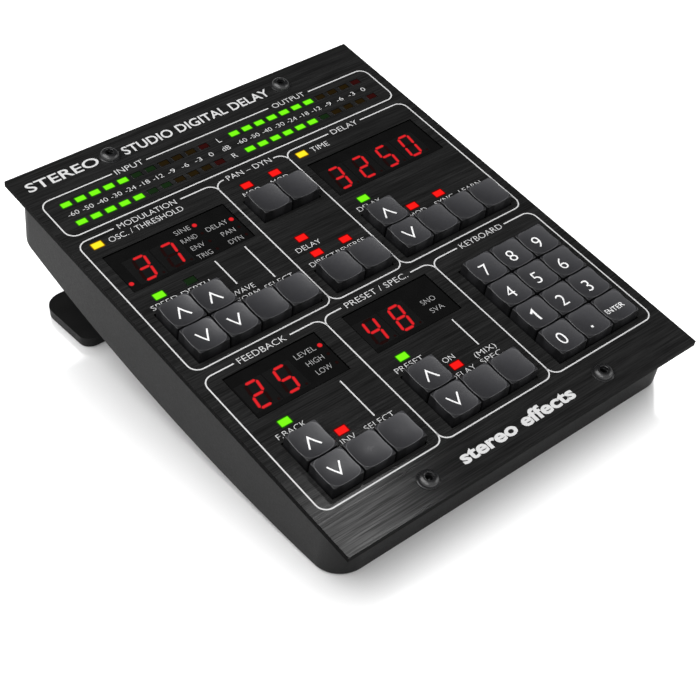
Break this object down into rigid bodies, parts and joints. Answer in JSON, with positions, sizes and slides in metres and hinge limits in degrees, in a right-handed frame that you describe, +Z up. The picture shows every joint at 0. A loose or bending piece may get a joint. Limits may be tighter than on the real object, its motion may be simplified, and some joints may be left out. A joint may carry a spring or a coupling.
{
  "type": "effects controller",
  "caption": "Desktop effects controller: tilted black panel with sprung keys, level meters and digit displays on a shallow curved case with a rear stand.",
  "frame": {"origin": "centre of the underside, on the desk", "axes": "+Z up, +Y from the user towards the raised rear edge, +X to the user's right"},
  "size_m": [0.135, 0.1658, 0.051],
  "materials": {
    "anodised_panel": "black anodised, brushed across",
    "case_plastic": "fine matte moulding",
    "keycap_plastic": "satin moulding",
    "black_steel": "black oxide",
    "smoked_window": "smoked acrylic, polished",
    "display_block": "grey display face",
    "board": "solder mask",
    "light_guide": "clear light guide",
    "plated_steel": "tin plated",
    "foot_rubber": "moulded"
  },
  "bodies": {
    "chassis": {"front_panel": "anodised_panel", "lower_case": "case_plastic", "circuit_board": "board", "input_meter_guide": "light_guide", "output_meter_guide": "light_guide", "usb_socket": "plated_steel", "window_modulation": "smoked_window", "window_delay": "smoked_window", "window_feedback": "smoked_window", "window_preset": "smoked_window", "display_modulation": "display_block", "display_delay": "display_block", "display_feedback": "display_block", "display_preset": "display_block", "panel_screw_front_left": "black_steel", "panel_screw_front_right": "black_steel", "panel_screw_rear_left": "black_steel", "panel_screw_rear_right": "black_steel", "rear_stand": "case_plastic", "stand_pad": "foot_rubber", "stand_screw_left": "black_steel", "stand_screw_right": "black_steel", "front_foot_left": "foot_rubber", "front_foot_right": "foot_rubber"},
    "key_modulation_speed_up": {"key_modulation_speed_up": "keycap_plastic"},
    "key_modulation_speed_down": {"key_modulation_speed_down": "keycap_plastic"},
    "key_modulation_depth_up": {"key_modulation_depth_up": "keycap_plastic"},
    "key_modulation_depth_down": {"key_modulation_depth_down": "keycap_plastic"},
    "key_modulation_waveform": {"key_modulation_waveform": "keycap_plastic"},
    "key_modulation_select": {"key_modulation_select": "keycap_plastic"},
    "key_pan_dyn_pan_mod": {"key_pan_dyn_pan_mod": "keycap_plastic"},
    "key_pan_dyn_dyn_mod": {"key_pan_dyn_dyn_mod": "keycap_plastic"},
    "key_output_direct": {"key_output_direct": "keycap_plastic"},
    "key_output_reverse": {"key_output_reverse": "keycap_plastic"},
    "key_delay_up": {"key_delay_up": "keycap_plastic"},
    "key_delay_down": {"key_delay_down": "keycap_plastic"},
    "key_delay_mod": {"key_delay_mod": "keycap_plastic"},
    "key_delay_sync": {"key_delay_sync": "keycap_plastic"},
    "key_delay_learn": {"key_delay_learn": "keycap_plastic"},
    "key_feedback_up": {"key_feedback_up": "keycap_plastic"},
    "key_feedback_down": {"key_feedback_down": "keycap_plastic"},
    "key_feedback_invert": {"key_feedback_invert": "keycap_plastic"},
    "key_feedback_select": {"key_feedback_select": "keycap_plastic"},
    "key_preset_up": {"key_preset_up": "keycap_plastic"},
    "key_preset_down": {"key_preset_down": "keycap_plastic"},
    "key_preset_delay_on": {"key_preset_delay_on": "keycap_plastic"},
    "key_preset_special": {"key_preset_special": "keycap_plastic"},
    "key_keyboard_zero": {"key_keyboard_zero": "keycap_plastic"},
    "key_keyboard_point": {"key_keyboard_point": "keycap_plastic"},
    "key_keyboard_enter": {"key_keyboard_enter": "keycap_plastic"},
    "key_keyboard_one": {"key_keyboard_one": "keycap_plastic"},
    "key_keyboard_two": {"key_keyboard_two": "keycap_plastic"},
    "key_keyboard_three": {"key_keyboard_three": "keycap_plastic"},
    "key_keyboard_four": {"key_keyboard_four": "keycap_plastic"},
    "key_keyboard_five": {"key_keyboard_five": "keycap_plastic"},
    "key_keyboard_six": {"key_keyboard_six": "keycap_plastic"},
    "key_keyboard_seven": {"key_keyboard_seven": "keycap_plastic"},
    "key_keyboard_eight": {"key_keyboard_eight": "keycap_plastic"},
    "key_keyboard_nine": {"key_keyboard_nine": "keycap_plastic"}
  },
  "joints": [
    {"name": "press_modulation_speed_up", "type": "slide", "parent": "chassis", "child": "key_modulation_speed_up", "axis": [0, 0.1908, -0.9816], "range_m": [0, 0.0012], "stiffness_N_per_m": 1200, "springref_m": -0.0005},
    {"name": "press_modulation_speed_down", "type": "slide", "parent": "chassis", "child": "key_modulation_speed_down", "axis": [0, 0.1908, -0.9816], "range_m": [0, 0.0012], "stiffness_N_per_m": 1200, "springref_m": -0.0005},
    {"name": "press_modulation_depth_up", "type": "slide", "parent": "chassis", "child": "key_modulation_depth_up", "axis": [0, 0.1908, -0.9816], "range_m": [0, 0.0012], "stiffness_N_per_m": 1200, "springref_m": -0.0005},
    {"name": "press_modulation_depth_down", "type": "slide", "parent": "chassis", "child": "key_modulation_depth_down", "axis": [0, 0.1908, -0.9816], "range_m": [0, 0.0012], "stiffness_N_per_m": 1200, "springref_m": -0.0005},
    {"name": "press_modulation_waveform", "type": "slide", "parent": "chassis", "child": "key_modulation_waveform", "axis": [0, 0.1908, -0.9816], "range_m": [0, 0.0012], "stiffness_N_per_m": 1200, "springref_m": -0.0005},
    {"name": "press_modulation_select", "type": "slide", "parent": "chassis", "child": "key_modulation_select", "axis": [0, 0.1908, -0.9816], "range_m": [0, 0.0012], "stiffness_N_per_m": 1200, "springref_m": -0.0005},
    {"name": "press_pan_dyn_pan_mod", "type": "slide", "parent": "chassis", "child": "key_pan_dyn_pan_mod", "axis": [0, 0.1908, -0.9816], "range_m": [0, 0.0012], "stiffness_N_per_m": 1200, "springref_m": -0.0005},
    {"name": "press_pan_dyn_dyn_mod", "type": "slide", "parent": "chassis", "child": "key_pan_dyn_dyn_mod", "axis": [0, 0.1908, -0.9816], "range_m": [0, 0.0012], "stiffness_N_per_m": 1200, "springref_m": -0.0005},
    {"name": "press_output_direct", "type": "slide", "parent": "chassis", "child": "key_output_direct", "axis": [0, 0.1908, -0.9816], "range_m": [0, 0.0012], "stiffness_N_per_m": 1200, "springref_m": -0.0005},
    {"name": "press_output_reverse", "type": "slide", "parent": "chassis", "child": "key_output_reverse", "axis": [0, 0.1908, -0.9816], "range_m": [0, 0.0012], "stiffness_N_per_m": 1200, "springref_m": -0.0005},
    {"name": "press_delay_up", "type": "slide", "parent": "chassis", "child": "key_delay_up", "axis": [0, 0.1908, -0.9816], "range_m": [0, 0.0012], "stiffness_N_per_m": 1200, "springref_m": -0.0005},
    {"name": "press_delay_down", "type": "slide", "parent": "chassis", "child": "key_delay_down", "axis": [0, 0.1908, -0.9816], "range_m": [0, 0.0012], "stiffness_N_per_m": 1200, "springref_m": -0.0005},
    {"name": "press_delay_mod", "type": "slide", "parent": "chassis", "child": "key_delay_mod", "axis": [0, 0.1908, -0.9816], "range_m": [0, 0.0012], "stiffness_N_per_m": 1200, "springref_m": -0.0005},
    {"name": "press_delay_sync", "type": "slide", "parent": "chassis", "child": "key_delay_sync", "axis": [0, 0.1908, -0.9816], "range_m": [0, 0.0012], "stiffness_N_per_m": 1200, "springref_m": -0.0005},
    {"name": "press_delay_learn", "type": "slide", "parent": "chassis", "child": "key_delay_learn", "axis": [0, 0.1908, -0.9816], "range_m": [0, 0.0012], "stiffness_N_per_m": 1200, "springref_m": -0.0005},
    {"name": "press_feedback_up", "type": "slide", "parent": "chassis", "child": "key_feedback_up", "axis": [0, 0.1908, -0.9816], "range_m": [0, 0.0012], "stiffness_N_per_m": 1200, "springref_m": -0.0005},
    {"name": "press_feedback_down", "type": "slide", "parent": "chassis", "child": "key_feedback_down", "axis": [0, 0.1908, -0.9816], "range_m": [0, 0.0012], "stiffness_N_per_m": 1200, "springref_m": -0.0005},
    {"name": "press_feedback_invert", "type": "slide", "parent": "chassis", "child": "key_feedback_invert", "axis": [0, 0.1908, -0.9816], "range_m": [0, 0.0012], "stiffness_N_per_m": 1200, "springref_m": -0.0005},
    {"name": "press_feedback_select", "type": "slide", "parent": "chassis", "child": "key_feedback_select", "axis": [0, 0.1908, -0.9816], "range_m": [0, 0.0012], "stiffness_N_per_m": 1200, "springref_m": -0.0005},
    {"name": "press_preset_up", "type": "slide", "parent": "chassis", "child": "key_preset_up", "axis": [0, 0.1908, -0.9816], "range_m": [0, 0.0012], "stiffness_N_per_m": 1200, "springref_m": -0.0005},
    {"name": "press_preset_down", "type": "slide", "parent": "chassis", "child": "key_preset_down", "axis": [0, 0.1908, -0.9816], "range_m": [0, 0.0012], "stiffness_N_per_m": 1200, "springref_m": -0.0005},
    {"name": "press_preset_delay_on", "type": "slide", "parent": "chassis", "child": "key_preset_delay_on", "axis": [0, 0.1908, -0.9816], "range_m": [0, 0.0012], "stiffness_N_per_m": 1200, "springref_m": -0.0005},
    {"name": "press_preset_special", "type": "slide", "parent": "chassis", "child": "key_preset_special", "axis": [0, 0.1908, -0.9816], "range_m": [0, 0.0012], "stiffness_N_per_m": 1200, "springref_m": -0.0005},
    {"name": "press_keyboard_zero", "type": "slide", "parent": "chassis", "child": "key_keyboard_zero", "axis": [0, 0.1908, -0.9816], "range_m": [0, 0.0012], "stiffness_N_per_m": 1200, "springref_m": -0.0005},
    {"name": "press_keyboard_point", "type": "slide", "parent": "chassis", "child": "key_keyboard_point", "axis": [0, 0.1908, -0.9816], "range_m": [0, 0.0012], "stiffness_N_per_m": 1200, "springref_m": -0.0005},
    {"name": "press_keyboard_enter", "type": "slide", "parent": "chassis", "child": "key_keyboard_enter", "axis": [0, 0.1908, -0.9816], "range_m": [0, 0.0012], "stiffness_N_per_m": 1200, "springref_m": -0.0005},
    {"name": "press_keyboard_one", "type": "slide", "parent": "chassis", "child": "key_keyboard_one", "axis": [0, 0.1908, -0.9816], "range_m": [0, 0.0012], "stiffness_N_per_m": 1200, "springref_m": -0.0005},
    {"name": "press_keyboard_two", "type": "slide", "parent": "chassis", "child": "key_keyboard_two", "axis": [0, 0.1908, -0.9816], "range_m": [0, 0.0012], "stiffness_N_per_m": 1200, "springref_m": -0.0005},
    {"name": "press_keyboard_three", "type": "slide", "parent": "chassis", "child": "key_keyboard_three", "axis": [0, 0.1908, -0.9816], "range_m": [0, 0.0012], "stiffness_N_per_m": 1200, "springref_m": -0.0005},
    {"name": "press_keyboard_four", "type": "slide", "parent": "chassis", "child": "key_keyboard_four", "axis": [0, 0.1908, -0.9816], "range_m": [0, 0.0012], "stiffness_N_per_m": 1200, "springref_m": -0.0005},
    {"name": "press_keyboard_five", "type": "slide", "parent": "chassis", "child": "key_keyboard_five", "axis": [0, 0.1908, -0.9816], "range_m": [0, 0.0012], "stiffness_N_per_m": 1200, "springref_m": -0.0005},
    {"name": "press_keyboard_six", "type": "slide", "parent": "chassis", "child": "key_keyboard_six", "axis": [0, 0.1908, -0.9816], "range_m": [0, 0.0012], "stiffness_N_per_m": 1200, "springref_m": -0.0005},
    {"name": "press_keyboard_seven", "type": "slide", "parent": "chassis", "child": "key_keyboard_seven", "axis": [0, 0.1908, -0.9816], "range_m": [0, 0.0012], "stiffness_N_per_m": 1200, "springref_m": -0.0005},
    {"name": "press_keyboard_eight", "type": "slide", "parent": "chassis", "child": "key_keyboard_eight", "axis": [0, 0.1908, -0.9816], "range_m": [0, 0.0012], "stiffness_N_per_m": 1200, "springref_m": -0.0005},
    {"name": "press_keyboard_nine", "type": "slide", "parent": "chassis", "child": "key_keyboard_nine", "axis": [0, 0.1908, -0.9816], "range_m": [0, 0.0012], "stiffness_N_per_m": 1200, "springref_m": -0.0005}
  ]
}
